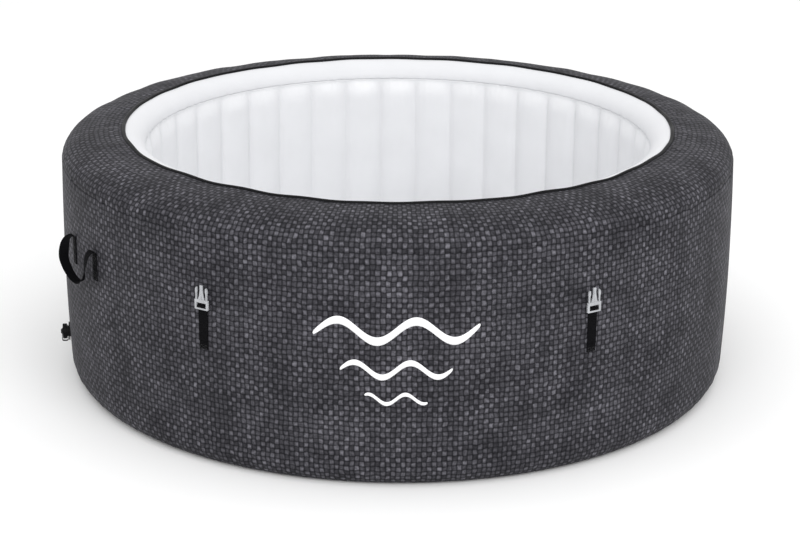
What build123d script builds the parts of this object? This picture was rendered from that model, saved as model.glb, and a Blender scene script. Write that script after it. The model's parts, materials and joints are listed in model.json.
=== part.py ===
"""Round inflatable hot tub: welded skins, tension webs, air jets, ports, drain, valve, straps and handles.

Millimetres, +Z up. The origin is on the tub's axis, on the ground. Azimuths are in degrees from the front (-Y),
positive towards +X, so the back, where the pump ports are, is 180 and the left side is -90.
"""
import math
import os

from build123d import *

os.makedirs("parts", exist_ok=True)

# Tub envelope
TUB_RADIUS = 900
TUB_HEIGHT = 660
SKIN = 0.9
BASE_SHEET = 1.2
BASE_RADIUS = 850
FOOT_RADIUS, FOOT_HEIGHT = 893, 60
SHOULDER_RADIUS, SHOULDER_HEIGHT = 896, 592
PIPING_RADIUS, PIPING_HEIGHT, PIPING_CORD = 733, 659.5, 3.5
WELD_RADIUS, WELD_HEIGHT = 680, 612
WALL_BULGE_HEIGHT = (FOOT_HEIGHT + SHOULDER_HEIGHT) / 2

# Pleated inner wall and the webs behind its creases
CELLS = 40
CELL_ANGLE = 360 / CELLS
CELL_PUFF = 14
FLOOR_RADIUS = WELD_RADIUS - CELL_PUFF - SKIN - 0.3
WEB, WEB_FLANGE = 0.6, 20
WEB_LOW, WEB_HIGH = 62, 588
WEB_OUTER_RADIUS = 891.5

# Air jets
JET_COUNT, JET_RADIUS = 120, 1.6
CHANNEL_INNER, CHANNEL_OUTER, CHANNEL_TOP, CHANNEL_SKIN, CREST = 617, 661, 26, 1.2, 5

# Pump ports, at the back
WATER_PORT_X, WATER_PORT_HEIGHT = 105, 120
AIR_PORT_HEIGHT = 270
PORT_BORE, PORT_NECK, PORT_FLANGE, PORT_REACH = 22, 29, 46, 36
PIPE_RADIUS = 25
INNER_FLANGE, INNER_FACE, PIPE_START = 40, 643, 677

# Drain, low on the left side
DRAIN_AZIMUTH, DRAIN_HEIGHT = -81, 105
DRAIN_BORE, DRAIN_NECK, DRAIN_FLANGE, DRAIN_REACH, DRAIN_THREAD = 12.5, 17, 25, 10, 5
DRAIN_CAP_RADIUS, DRAIN_CAP_SKIRT = 20.5, 8

# Inflation valve, high on the back
VALVE_AZIMUTH, VALVE_HEIGHT = 162, 430
VALVE_BORE, VALVE_COLLAR, VALVE_FLANGE = 14, 19, 30
VALVE_CAP_RADIUS, VALVE_CAP_SKIRT = 23, 11

# Cover straps, buckles and handles
WEBBING, WEBBING_WIDTH = 1.5, 25
STRAP_FOOT_HEIGHT, STRAP_LENGTH = 321, 92
BUCKLES = {
    "front_left": -30.5,
    "front_right": 30.9,
    "right": 90,
    "back_right": 149,
    "back_left": -149,
    "left": -90,
}
HANDLES = {"left": -61.4, "right": 118.6}
HANDLE_HALF_ANGLE = 4.7
HANDLE_TOP, HANDLE_DROP, HANDLE_GAP = 456, 96, 10


def wall_radius(height):
    """Outer radius of the outer wall, which bulges to TUB_RADIUS halfway up."""
    share = (height - WALL_BULGE_HEIGHT) / (WALL_BULGE_HEIGHT - FOOT_HEIGHT)
    end = FOOT_RADIUS if share < 0 else SHOULDER_RADIUS
    return TUB_RADIUS - (TUB_RADIUS - end) * share * share


def wall_plane(azimuth, height, radius):
    """A plane on the tub's wall: x along the wall, y up, z outwards."""
    a = math.radians(azimuth)
    outward = Vector(math.sin(a), -math.cos(a), 0)
    along = Vector(math.cos(a), math.sin(a), 0)
    return Plane(origin=outward * radius + Vector(0, 0, height), x_dir=along, z_dir=outward)


def port_plane(x, height):
    """A plane whose z runs along +Y through a pump port, so its z is the row's Y."""
    return Plane(origin=(x, 0, height), x_dir=(-1, 0, 0), z_dir=(0, 1, 0))


def disc(radius, low, high):
    """A cylinder along z from low to high."""
    return Pos(0, 0, low) * Cylinder(radius, high - low, align=(Align.CENTER, Align.CENTER, Align.MIN))


def ring(outer, inner, low, high):
    """A flat-ended tube along z from low to high."""
    return disc(outer, low, high) - disc(inner, low - 1, high + 1)


def slab(x_low, x_high, y_low, y_high, z_low, z_high):
    """A box given by its limits."""
    box = Box(x_high - x_low, y_high - y_low, z_high - z_low, align=(Align.MIN, Align.MIN, Align.MIN))
    return Pos(x_low, y_low, z_low) * box


def turned(line):
    """A skin of revolution: an open line in the XZ plane, thickened into the air chamber and spun about Z."""
    strip = make_face(offset(line, amount=SKIN, side=Side.RIGHT).edges())
    return revolve(strip, Axis.Z)


def at(x, z):
    """A point of a profile in the XZ plane."""
    return Vector(x, 0, z)


def save(name, shape):
    """Writes one node, in the row's frame, as its closed solids."""
    solids = shape.solids()
    export_step(solids[0] if len(solids) == 1 else Compound(children=list(solids)), f"parts/{name}.step")


# ---------------------------------------------------------------- welded skins


def through_wall_holes():
    """The clear holes for the ports, the drain and the valve, through both walls."""
    margin = 0.4
    water = [
        port_plane(side * WATER_PORT_X, WATER_PORT_HEIGHT).location * disc(PIPE_RADIUS + margin, 560, 960)
        for side in (-1, 1)
    ]
    air = port_plane(0, AIR_PORT_HEIGHT).location * disc(PIPE_RADIUS + margin, 840, 960)
    drain = wall_plane(DRAIN_AZIMUTH, DRAIN_HEIGHT, 0).location * disc(15 + margin, 600, 960)
    valve = wall_plane(VALVE_AZIMUTH, VALVE_HEIGHT, 0).location * disc(17 + margin, 840, 960)
    feed = port_plane(0, CHANNEL_TOP / 2 + 1).location * disc(8.4, 600, 720)
    return [*water, air, drain, valve, feed]


def outer_line(inset):
    """The outer wall's foot arc and upright line, moved inwards by inset."""
    foot = ThreePointArc(
        at(BASE_RADIUS, inset), at(881.5 - 0.78 * inset, 17 + 0.62 * inset), at(FOOT_RADIUS - inset, FOOT_HEIGHT)
    )
    rise = [FOOT_HEIGHT + share * (SHOULDER_HEIGHT - FOOT_HEIGHT) for share in (0, 0.25, 0.5, 0.75, 1)]
    return foot, Spline([at(wall_radius(height) - inset, height) for height in rise])


def outer_wall():
    """Printed outer skin, from the base weld round the foot and up to the shoulder seam."""
    foot, side = outer_line(0)
    foot_back, side_back = outer_line(SKIN)
    ends = [Line(foot @ 0, foot_back @ 0), Line(side @ 1, side_back @ 1)]
    return revolve(make_face([foot, side, foot_back, side_back, *ends]), Axis.Z)


def top_rim():
    """Printed top skin, from the shoulder seam over to the piping."""
    start, turn = at(SHOULDER_RADIUS, SHOULDER_HEIGHT + 0.1), at(868, 634)
    shoulder = TangentArc(start, turn, tangent=(0, 0, 1))
    crown = TangentArc(turn, at(PIPING_RADIUS + PIPING_CORD + 0.3, TUB_HEIGHT), tangent=shoulder % 1)
    return turned(shoulder + crown)


def inner_rim_band():
    """Smooth white skin from the piping down to the weld above the pleats."""
    start = at(PIPING_RADIUS - PIPING_CORD - 0.3, TUB_HEIGHT - 0.6)
    band = TangentArc(start, at(WELD_RADIUS - 1, WELD_HEIGHT), tangent=(-1, 0, -0.25))
    return turned(band)


def pleat_outline(crease_radius):
    """A closed ring of arcs, one for each cell, that bulge towards the water from crease to crease."""
    arcs = []
    for i in range(CELLS):
        angles = [math.radians(90 + (i + step) * CELL_ANGLE) for step in (-0.5, 0, 0.5)]
        radii = [crease_radius, crease_radius - CELL_PUFF, crease_radius]
        points = [Vector(r * math.cos(a), r * math.sin(a), 0) for r, a in zip(radii, angles)]
        arcs.append(ThreePointArc(*points))
    return make_face(arcs)


def inner_wall():
    """White pleated skin: puffed upright cells, with a crease at each tension web."""
    section = pleat_outline(WELD_RADIUS) - pleat_outline(WELD_RADIUS - SKIN)
    return Pos(0, 0, BASE_SHEET) * extrude(section, WELD_HEIGHT - BASE_SHEET - 0.3)


def tension_webs():
    """The upright I-section bands inside the air chamber, which hold the two walls parallel."""
    web = slab(WELD_RADIUS + 1.6, WEB_OUTER_RADIUS - WEB, -WEB / 2, WEB / 2, WEB_LOW, WEB_HIGH)
    inner = slab(WELD_RADIUS + 1, WELD_RADIUS + 1.6, -WEB_FLANGE / 2, WEB_FLANGE / 2, WEB_LOW, WEB_HIGH)
    outer = slab(
        WEB_OUTER_RADIUS - WEB, WEB_OUTER_RADIUS, -WEB_FLANGE / 2, WEB_FLANGE / 2, WEB_LOW, WEB_HIGH
    )
    band = web + inner + outer
    turns = [90 + (i + 0.5) * CELL_ANGLE for i in range(CELLS)]
    return Compound(children=[Rot(0, 0, turn) * band for turn in turns])


def channel_section(inset):
    """Half-round section of the air channel, with a flat crest for the jets."""
    middle, low, top = (CHANNEL_INNER + CHANNEL_OUTER) / 2, 2 * BASE_SHEET + inset, CHANNEL_TOP - inset
    left, right = at(CHANNEL_INNER + inset, low), at(CHANNEL_OUTER - inset, low)
    crest_left, crest_right = at(middle - CREST, top), at(middle + CREST, top)
    left_shoulder = TangentArc(crest_left, left, tangent=(-1, 0, 0))
    right_shoulder = TangentArc(crest_right, right, tangent=(1, 0, 0))
    shoulders = left_shoulder, right_shoulder
    return make_face([Line(left, right), Line(crest_left, crest_right), *shoulders])


def air_jet_channel():
    """Hollow tube round the floor, with a row of air jets along its crest."""
    middle = (CHANNEL_INNER + CHANNEL_OUTER) / 2
    jet = Pos(middle, 0, CHANNEL_TOP - 6) * disc(JET_RADIUS, 0, 12)
    jets = [Rot(0, 0, (i + 0.5) * 360 / JET_COUNT) * jet for i in range(JET_COUNT)]
    feed = port_plane(0, CHANNEL_TOP / 2 + 1).location * disc(8.4, middle, 680)
    return revolve(channel_section(0) - channel_section(CHANNEL_SKIN), Axis.Z) - jets - feed


def air_feed_hose():
    """Soft hose inside the wall, from the air port down to the jet channel."""
    low = CHANNEL_TOP / 2 + 1
    start = wall_radius(AIR_PORT_HEIGHT) - 9
    path = FilletPolyline(
        (0, start, AIR_PORT_HEIGHT), (0, 795, AIR_PORT_HEIGHT), (0, 770, low), (0, 656, low), radius=60
    )
    section = Plane(origin=path @ 0, z_dir=path % 0) * (Circle(8) - Circle(6.5))
    return sweep(section, path=path)


# ---------------------------------------------------------------- ports through the wall


def saddle(plane, flange_radius, face, wall):
    """A round flange that sits on the outside of the wall: its back follows the wall, its face is flat."""
    return plane.location * disc(flange_radius, face - 60, face) - disc(wall, 0, TUB_HEIGHT)


def outer_port(plane, x, height):
    """Flanged spigot welded on the outer wall, with a groove for its seal. Returns port, seal and inner end."""
    wall = wall_radius(height) + 2.2
    crown = math.sqrt(wall**2 - x**2)
    face = math.sqrt(wall**2 - max(abs(x) - PORT_FLANGE, 0) ** 2) + 3
    end = face + PORT_REACH
    body = saddle(plane, PORT_FLANGE, face, wall)
    body += plane.location * (disc(PORT_NECK, face - 1, end) + disc(PIPE_RADIUS, crown - 8, face))
    body -= plane.location * disc(PORT_BORE, crown - 20, end + 1)
    body -= plane.location * ring(PORT_NECK + 1, PORT_NECK - 1.6, end - 6, end - 3)
    seal = plane.location * (Pos(0, 0, end - 4.5) * Torus(PORT_NECK - 0.8, 0.75))
    return body, seal, crown - 8


def hose_tail(plane, end):
    """Closing plate and hose nipple on the inner end of the air port."""
    return plane.location * (ring(PIPE_RADIUS, 5, end - 2, end + 0.5) + ring(6.3, 5, end - 22, end - 1))


def inner_fitting(plane, flange, neck, bore, boss, face):
    """Flanged spigot on the water side of the inner wall, with a boss through the skin to the pipe."""
    flat = plane.location * disc(flange, face, face + 40)
    inside = disc(FLOOR_RADIUS, 0, TUB_HEIGHT)
    body = flat & inside
    spigot = plane.location * disc(neck, face - 16, face + 1)
    boss_radius, boss_end = boss
    through = plane.location * disc(boss_radius, face, boss_end)
    return body + spigot + through - plane.location * disc(bore, face - 20, boss_end + 5)


def debris_screen(plane, neck, face):
    """Push-on strainer cap for the water outlet, with slots in its end."""
    shell = disc(neck + 4, face - 30, face - 1) - disc(neck + 0.15, face - 26, face)
    slots = [
        slab(-length, length, 7 * row - 1.6, 7 * row + 1.6, face - 31, face - 25)
        for row, length in zip(range(-3, 4), (14, 20, 23, 24, 23, 20, 14))
    ]
    return plane.location * (shell - slots)


def filter_set(plane, neck, face):
    """Filter on the water inlet: slotted housing, pleated cartridge and screw lid."""
    depth, radius = 92, 58
    back, front = face - 2, face - 2 - depth
    housing = ring(radius, radius - 2.5, front, back) + ring(radius, neck + 0.3, back - 3, back)
    slot = slab(-4, 4, radius - 8, radius + 4, front + 14, back - 14)
    housing -= [Rot(0, 0, i * 30) * slot for i in range(12)]
    pleats, tooth = 36, 4
    points = []
    for i in range(2 * pleats):
        r = 50 - (tooth if i % 2 else 0)
        a = math.pi * i / pleats
        points.append((r * math.cos(a), r * math.sin(a)))
    paper = extrude(make_face(Polyline(*points, close=True)) - Circle(31), depth - 18)
    cartridge = Pos(0, 0, front + 8) * paper
    cartridge += ring(51, 30, front + 4, front + 8.5) + ring(51, 30, back - 10.5, back - 6)
    lid = disc(radius + 4, front - 6, front - 0.4) + ring(radius + 4, radius + 0.4, front - 1, front + 12)
    rib = slab(-2.5, 2.5, radius + 3, radius + 6, front - 6, front + 12)
    ribs = [Rot(0, 0, i * 30) * rib for i in range(12)]
    grip = slab(-30, 30, -4, 4, front - 18, front - 5)
    lid = lid + ribs + grip
    pieces = {"filter_housing": housing, "filter_cartridge": cartridge, "filter_lid": lid}
    return {name: plane.location * piece for name, piece in pieces.items()}


# ---------------------------------------------------------------- drain and inflation valve


def screw_cap(radius, skirt, bore, low, knob, grips):
    """Closed cap with a ribbed rim. Its skirt starts at low and reaches outwards by skirt."""
    top = low + skirt + 4
    cap = disc(radius, low, top) - disc(bore, low - 1, low + skirt)
    cap += disc(knob, top - 1, top + 5)
    rib = slab(-1.4, 1.4, radius - 1, radius + 1.2, low + 1, top - 1)
    return cap + [Rot(0, 0, i * 360 / grips) * rib for i in range(grips)]


def tether(neck, knob, drop, low, high, thickness=2):
    """Soft strap: a ring round the neck, a ring round the cap's knob, and the band that joins them below."""
    ring_low = ring(neck + 3, neck + 0.4, low, low + thickness)
    ring_high = ring(knob + 3, knob + 0.4, high, high + thickness)
    upright = slab(-4, 4, -drop - thickness, -drop, low, high + thickness)
    foot = slab(-4, 4, -drop, -neck - 1, low, low + thickness)
    top = slab(-4, 4, -drop, -knob - 1, high, high + thickness)
    return ring_low + ring_high + upright + foot + top


def drain_parts():
    """Drain through the wall: outlet, washer, cap and tether outside, seat and stopper inside."""
    plane = wall_plane(DRAIN_AZIMUTH, DRAIN_HEIGHT, 0)
    wall = wall_radius(DRAIN_HEIGHT) + 1.2
    face = wall + 3
    outlet = saddle(plane, DRAIN_FLANGE, face, wall)
    outlet += plane.location * (disc(15, wall - 6, face) + disc(DRAIN_NECK - 3, face - 1, face + DRAIN_REACH))
    outlet += plane.location * disc(DRAIN_NECK, face + DRAIN_REACH - DRAIN_THREAD, face + DRAIN_REACH)
    outlet -= plane.location * disc(DRAIN_BORE, wall - 12, face + DRAIN_REACH + 9)
    end = face + DRAIN_REACH
    low = end + 2.3 - DRAIN_CAP_SKIRT
    cap = screw_cap(DRAIN_CAP_RADIUS - 1.2, DRAIN_CAP_SKIRT, DRAIN_NECK + 0.35, low, 6, 18)
    washer = ring(DRAIN_NECK - 0.5, 9, end + 0.1, end + 2.1)
    strap = tether(DRAIN_NECK - 3, 6, DRAIN_CAP_RADIUS + 5, face + 1.5, low + DRAIN_CAP_SKIRT + 4.6)
    seat_face = FLOOR_RADIUS - 5.5
    seat = inner_fitting(plane, 30, 17, DRAIN_BORE, (15, PIPE_START + 6.8), seat_face)
    stopper = disc(20, seat_face - 20, seat_face - 16.3)
    stopper += disc(DRAIN_BORE - 0.3, seat_face - 17, seat_face - 2)
    grip = slab(-2, 2, -9, 9, seat_face - 34, seat_face - 19)
    stopper += grip - slab(-3, 3, -5, 5, seat_face - 30, seat_face - 24)
    pipe = ring(15, DRAIN_BORE, PIPE_START + 7, wall - 6.2)
    placed = {
        "drain_cap": cap,
        "drain_cap_washer": washer,
        "drain_cap_tether": strap,
        "drain_stopper": stopper,
    }
    parts = {name: plane.location * shape for name, shape in placed.items()}
    parts["drain_outlet"] = outlet
    parts["drain_seat"] = seat
    return parts, plane.location * pipe


def valve_parts():
    """Inflation valve: welded body, sprung stem with a rubber diaphragm, and a screw cap on a tether."""
    plane = wall_plane(VALVE_AZIMUTH, VALVE_HEIGHT, 0)
    wall = wall_radius(VALVE_HEIGHT) + 0.8
    face, inner_end = wall + 3, wall - 30
    barrel = disc(17, inner_end, face) + disc(VALVE_COLLAR, face - 1, face + 12)
    guide_low, guide_high = wall - 14, wall - 11
    spider = slab(-VALVE_BORE - 1, VALVE_BORE + 1, -2, 2, guide_low, guide_high)
    spider += slab(-2, 2, -VALVE_BORE - 1, VALVE_BORE + 1, guide_low, guide_high)
    spider += disc(5.5, guide_low, guide_high)
    body = saddle(plane, VALVE_FLANGE, face, wall) + plane.location * barrel
    bore = disc(VALVE_BORE, inner_end + 3, face + 13) + disc(11, inner_end - 1, inner_end + 4)
    body -= plane.location * bore
    body += plane.location * (spider - disc(3.1, guide_low - 1, guide_high + 1))
    stem = disc(3, inner_end - 4, wall + 6) + disc(5.5, wall + 3.5, wall + 6.5)
    stem += disc(12, inner_end - 4.2, inner_end - 2.2)
    diaphragm = ring(13, 3.15, inner_end - 2, inner_end - 0.2)
    turns, wire = 5, 0.5
    coil = Helix(pitch=(guide_high - wall - 3.5) / -turns, height=14.5 - 2 * wire - 0.4, radius=4.2)
    spring = sweep(Plane(origin=coil @ 0, z_dir=coil % 0) * Circle(wire), path=coil, is_frenet=True)
    spring = Pos(0, 0, guide_high + wire + 0.2) * spring
    end = face + 12
    low = end + 2.3 - VALVE_CAP_SKIRT
    cap = screw_cap(VALVE_CAP_RADIUS - 1.2, VALVE_CAP_SKIRT, VALVE_COLLAR + 0.35, low, 6, 20)
    washer = ring(VALVE_COLLAR - 0.5, VALVE_BORE + 1, end + 0.1, end + 2.1)
    drop, knob_face = VALVE_CAP_RADIUS + 5, low + VALVE_CAP_SKIRT + 4.6
    strap = tether(VALVE_COLLAR, 6, drop, face + 0.5, knob_face, thickness=1.4)
    placed = {
        "valve_stem": stem,
        "valve_diaphragm": diaphragm,
        "valve_spring": spring,
        "valve_cap": cap,
        "valve_cap_washer": washer,
        "valve_cap_tether": strap,
    }
    parts = {name: plane.location * shape for name, shape in placed.items()}
    parts["valve_body"] = body
    return parts


# ---------------------------------------------------------------- cover straps and carry handles

BAR_UP, BAR_OUT, BAR = STRAP_LENGTH + 4, 6.1, 2
FRAME_BACK, FRAME_FRONT = 3.7, 8.6


def cover_strap():
    """Doubled webbing that stands on the wall from its sewn foot, and loops round the buckle's bar."""
    half = WEBBING_WIDTH / 2
    strip = slab(-half, half, 2, BAR_UP, 0.4, 0.4 + 2 * WEBBING)
    loop = Pos(0, BAR_UP, BAR_OUT) * Rot(0, 90, 0) * Cylinder(3.7, WEBBING_WIDTH)
    hole = Pos(0, BAR_UP, BAR_OUT) * Rot(0, 90, 0) * Cylinder(BAR + 0.25, WEBBING_WIDTH + 2)
    return strip + loop - hole


def buckle_frame():
    """Male half of a side-release buckle: window frame, webbing bar and centre guide."""
    side, low, window_low, window_high, high = 19, BAR_UP - 8, BAR_UP - 4, BAR_UP + 9, BAR_UP + 17
    frame = slab(-side, side, low, high, FRAME_BACK, FRAME_FRONT)
    frame = fillet(frame.edges().filter_by(Axis.Z), 2)
    frame -= slab(-13.5, 13.5, window_low, window_high, 0, 12)
    frame += Pos(0, BAR_UP, BAR_OUT) * Rot(0, 90, 0) * Cylinder(BAR, 28)
    tip = high + 35.5
    guide = make_face(
        Polyline((-9.5, high - 1), (9.5, high - 1), (6, high + 10), (4, high + 22), (4, tip), (-4, tip),
                 (-4, high + 22), (-6, high + 10), close=True)
    )
    guide = fillet(extrude(Pos(0, 0, FRAME_BACK + 0.8) * guide, 3.4).edges().filter_by(Axis.Z), 0.8)
    rail = slab(-1, 1, high - 4, tip - 4, FRAME_FRONT - 0.8, FRAME_FRONT + 0.2)
    return frame + guide + rail


def buckle_prong(side):
    """One springy arm of the buckle, with the catch at its tip. side is -1 or 1."""
    root = BAR_UP + 17.3
    outer_side = [(12.6, 0), (16.1, 0), (16.1, 14), (17.2, 18), (16.8, 25), (14.4, 30)]
    outline = outer_side + [(12, 29), (11.2, 20), (12.6, 14)]
    points = [(side * x, root + y) for x, y in outline]
    arm = extrude(Pos(0, 0, FRAME_BACK + 0.4) * make_face(Polyline(*points, close=True)), 4.2)
    return fillet(arm.edges().filter_by(Axis.Z), 0.6)


def webbing_tabs():
    """The sewn ends of the webbing: a short foot under each cover strap and two long tails for each handle."""
    half = WEBBING_WIDTH / 2
    tabs = []
    for azimuth in BUCKLES.values():
        plane = wall_plane(azimuth, STRAP_FOOT_HEIGHT, TUB_RADIUS + 0.4)
        tabs.append(plane.location * slab(-half, half, -14, 1.4, 0, WEBBING))
    for azimuth in HANDLES.values():
        for side in (-1, 1):
            surface = wall_radius(HANDLE_TOP - 60) + 0.4
            plane = wall_plane(azimuth + side * HANDLE_HALF_ANGLE, HANDLE_TOP, surface)
            tabs.append(plane.location * slab(-half, half, -78, -6, 0, WEBBING))
    return Compound(children=tabs)


def carry_handle(azimuth):
    """Webbing loop that hangs from its two sewn tails and stands off the wall."""
    reach = TUB_RADIUS * math.sin(math.radians(HANDLE_HALF_ANGLE))
    plane = wall_plane(azimuth, HANDLE_TOP, TUB_RADIUS)
    outer = FilletPolyline(
        (-reach, -2), (-reach + 6, -60), (-22, -HANDLE_DROP), (22, -HANDLE_DROP), (reach - 6, -60), (reach, -2),
        radius=26,
    )
    band = offset(outer, amount=2.4, side=Side.LEFT)
    return plane.location * (Pos(0, 0, HANDLE_GAP) * extrude(make_face(band.edges()), WEBBING_WIDTH - 1))


# ---------------------------------------------------------------- build


def save_skins():
    """The welded envelope, what it holds inside, and the air jets on the floor."""
    holes = through_wall_holes()
    save("outer_wall", outer_wall() - holes)
    save("top_rim", top_rim())
    save("rim_piping", Pos(0, 0, PIPING_HEIGHT) * Torus(PIPING_RADIUS, PIPING_CORD))
    save("inner_rim_band", inner_rim_band())
    save("inner_wall", inner_wall() - holes)
    save("inner_floor", disc(FLOOR_RADIUS, BASE_SHEET, 2 * BASE_SHEET - 0.1))
    save("base_sheet", disc(BASE_RADIUS - 0.1, 0, BASE_SHEET - 0.1))
    save("tension_webs", tension_webs())
    save("air_jet_channel", air_jet_channel())
    save("air_feed_hose", air_feed_hose())


def save_ports():
    """The pump's two water ports and air port, with what belongs to them, and the drain."""
    seals, fittings, pipes = [], [], []
    planes = {}
    for name, x in (("water_outlet_port", -WATER_PORT_X), ("water_inlet_port", WATER_PORT_X)):
        planes[name] = plane = port_plane(x, WATER_PORT_HEIGHT)
        port, seal, pipe_end = outer_port(plane, x, WATER_PORT_HEIGHT)
        save(name, port)
        seals.append(seal)
        boss = (PIPE_RADIUS, PIPE_START - 0.2)
        fittings.append(inner_fitting(plane, INNER_FLANGE, PORT_NECK, PORT_BORE, boss, INNER_FACE))
        pipes.append(plane.location * ring(PIPE_RADIUS, PORT_BORE, PIPE_START, pipe_end - 0.2))
    air_plane = port_plane(0, AIR_PORT_HEIGHT)
    port, seal, inner_end = outer_port(air_plane, 0, AIR_PORT_HEIGHT)
    save("air_inlet_port", port + hose_tail(air_plane, inner_end))
    save("port_seals", Compound(children=[*seals, seal]))
    save("inner_port_fittings", Compound(children=fittings))
    save("outlet_screen", debris_screen(planes["water_outlet_port"], PORT_NECK, INNER_FACE))
    for name, shape in filter_set(planes["water_inlet_port"], PORT_NECK, INNER_FACE).items():
        save(name, shape)
    parts, drain_pipe = drain_parts()
    for name, shape in parts.items():
        save(name, shape)
    save("wall_pipes", Compound(children=[*pipes, drain_pipe]))


def save_straps_and_handles():
    """Six cover straps with their buckles, two carry handles, and every sewn end."""
    save("webbing_tabs", webbing_tabs())
    strap, frame = cover_strap(), buckle_frame()
    prongs = {"left": buckle_prong(-1), "right": buckle_prong(1)}
    for place, azimuth in BUCKLES.items():
        seat = wall_plane(azimuth, STRAP_FOOT_HEIGHT, TUB_RADIUS).location
        save(f"strap_{place}", seat * strap)
        save(f"buckle_{place}", seat * frame)
        for side, prong in prongs.items():
            save(f"prong_{side}_{place}", seat * prong)
    for place, azimuth in HANDLES.items():
        save(f"handle_{place}", carry_handle(azimuth))


save_skins()
save_ports()
for node, solid in valve_parts().items():
    save(node, solid)
save_straps_and_handles()
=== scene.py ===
"""Round inflatable hot tub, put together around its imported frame: skins, piping, ports, straps and handles.

Metres, +Z up. Azimuths are in radians from the front (-Y), positive towards +X.
"""

import json
import math

import bpy
import numpy as np
from mathutils import Matrix, Vector


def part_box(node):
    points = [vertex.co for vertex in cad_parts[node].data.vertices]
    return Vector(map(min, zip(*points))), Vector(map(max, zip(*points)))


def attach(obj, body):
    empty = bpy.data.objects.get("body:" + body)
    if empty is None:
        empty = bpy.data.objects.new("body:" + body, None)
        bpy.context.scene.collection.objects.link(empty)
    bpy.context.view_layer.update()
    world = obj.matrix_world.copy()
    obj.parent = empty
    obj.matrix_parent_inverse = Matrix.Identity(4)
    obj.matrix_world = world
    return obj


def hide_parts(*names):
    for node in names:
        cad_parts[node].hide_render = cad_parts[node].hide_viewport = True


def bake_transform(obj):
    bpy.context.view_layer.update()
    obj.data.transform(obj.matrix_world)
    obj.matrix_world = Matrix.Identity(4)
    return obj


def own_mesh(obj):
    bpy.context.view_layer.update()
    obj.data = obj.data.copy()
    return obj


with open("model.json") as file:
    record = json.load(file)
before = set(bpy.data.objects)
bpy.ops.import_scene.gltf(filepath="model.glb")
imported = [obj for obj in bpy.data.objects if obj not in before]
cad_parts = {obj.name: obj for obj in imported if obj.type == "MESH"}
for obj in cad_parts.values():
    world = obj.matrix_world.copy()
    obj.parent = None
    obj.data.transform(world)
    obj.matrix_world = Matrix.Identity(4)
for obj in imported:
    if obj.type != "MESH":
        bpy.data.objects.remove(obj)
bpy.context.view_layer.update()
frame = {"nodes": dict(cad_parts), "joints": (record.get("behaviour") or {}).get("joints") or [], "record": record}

# ---------------------------------------------------------------- studio
# A pale floor under even, soft light: a broad panel overhead, a large one behind the camera and a pale surround.
# The camera looks down on the tub from the front with a long lens.

TUB_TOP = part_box("rim_piping")[1].z
CAMERA_DISTANCE, CAMERA_ELEVATION, CAMERA_ROLL = 5.489, math.radians(18.435), math.radians(0.406)
LENS, SENSOR = 90.06, 36.0


def look_from(distance, elevation, roll, aim):
    """A camera pose on the front side that faces the aim point, turned by roll about its own line of sight."""
    place = aim + Vector((0, -distance * math.cos(elevation), distance * math.sin(elevation)))
    turn = Matrix.Rotation(math.pi / 2 - elevation, 4, "X") @ Matrix.Rotation(roll, 4, "Z")
    return Matrix.Translation(place) @ turn


def area_light(name, size, power, place, aim):
    """A square soft panel at place, facing aim."""
    data = bpy.data.lights.new(name, "AREA")
    data.size, data.energy = size, power
    lamp = bpy.data.objects.new(name, data)
    lamp.location = place
    lamp.rotation_euler = (Vector(aim) - Vector(place)).to_track_quat("-Z", "Y").to_euler()
    bpy.context.scene.collection.objects.link(lamp)


camera_data = bpy.data.cameras.new("camera")
camera_data.lens, camera_data.sensor_width = LENS, SENSOR
camera_data.shift_x, camera_data.shift_y = 0.0035, -0.0363
camera = bpy.data.objects.new("camera", camera_data)
camera.matrix_world = look_from(CAMERA_DISTANCE, CAMERA_ELEVATION, CAMERA_ROLL, Vector((0, 0, TUB_TOP / 2)))
bpy.context.scene.collection.objects.link(camera)
bpy.context.scene.camera = camera

area_light("overhead", 5.0, 30, (0, -0.3, 4.2), (0, 0, 0))
area_light("front_left", 3.0, 60, (-1.0, -5.1, 3.8), (0, 0, 0.3))
area_light("front_right", 3.0, 85, (2.6, -4.8, 3.6), (0, 0, 0.3))

world = bpy.data.worlds.new("surround")
world.use_nodes = True
world.node_tree.nodes["Background"].inputs["Color"].default_value = (1.0, 1.0, 1.0, 1)
world.node_tree.nodes["Background"].inputs["Strength"].default_value = 0.98
bpy.context.scene.world = world
bpy.context.scene.view_settings.view_transform = "Standard"


def node(tree, kind, sources=(), **settings):
    """Adds a shader node with these settings. A source that is a socket is linked, and any other is a value."""
    made = tree.nodes.new(kind)
    for name, value in settings.items():
        setattr(made, name, value)
    for slot, source in sources.items() if isinstance(sources, dict) else enumerate(sources):
        if isinstance(source, bpy.types.NodeSocket):
            tree.links.new(source, made.inputs[slot])
        elif source is not None:
            made.inputs[slot].default_value = source
    return made


def maths(tree, operation, *values):
    """The result of a Math node."""
    return node(tree, "ShaderNodeMath", values, operation=operation).outputs[0]


def material(name, roughness, **sockets):
    """A new material with these plain values on its Principled shader. Returns it with its tree and shader."""
    made = bpy.data.materials.new(name)
    made.use_nodes = True
    shader = made.node_tree.nodes["Principled BSDF"]
    shader.inputs["Roughness"].default_value = roughness
    for socket, value in sockets.items():
        shader.inputs[socket.replace("_", " ")].default_value = value
    return made, made.node_tree, shader


def blend_colours(tree, share, dark, light):
    """The colour between dark and light at this share."""
    mix = node(tree, "ShaderNodeMix", {0: share, 6: (*dark, 1), 7: (*light, 1)}, data_type="RGBA")
    return mix.outputs[2]


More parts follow.
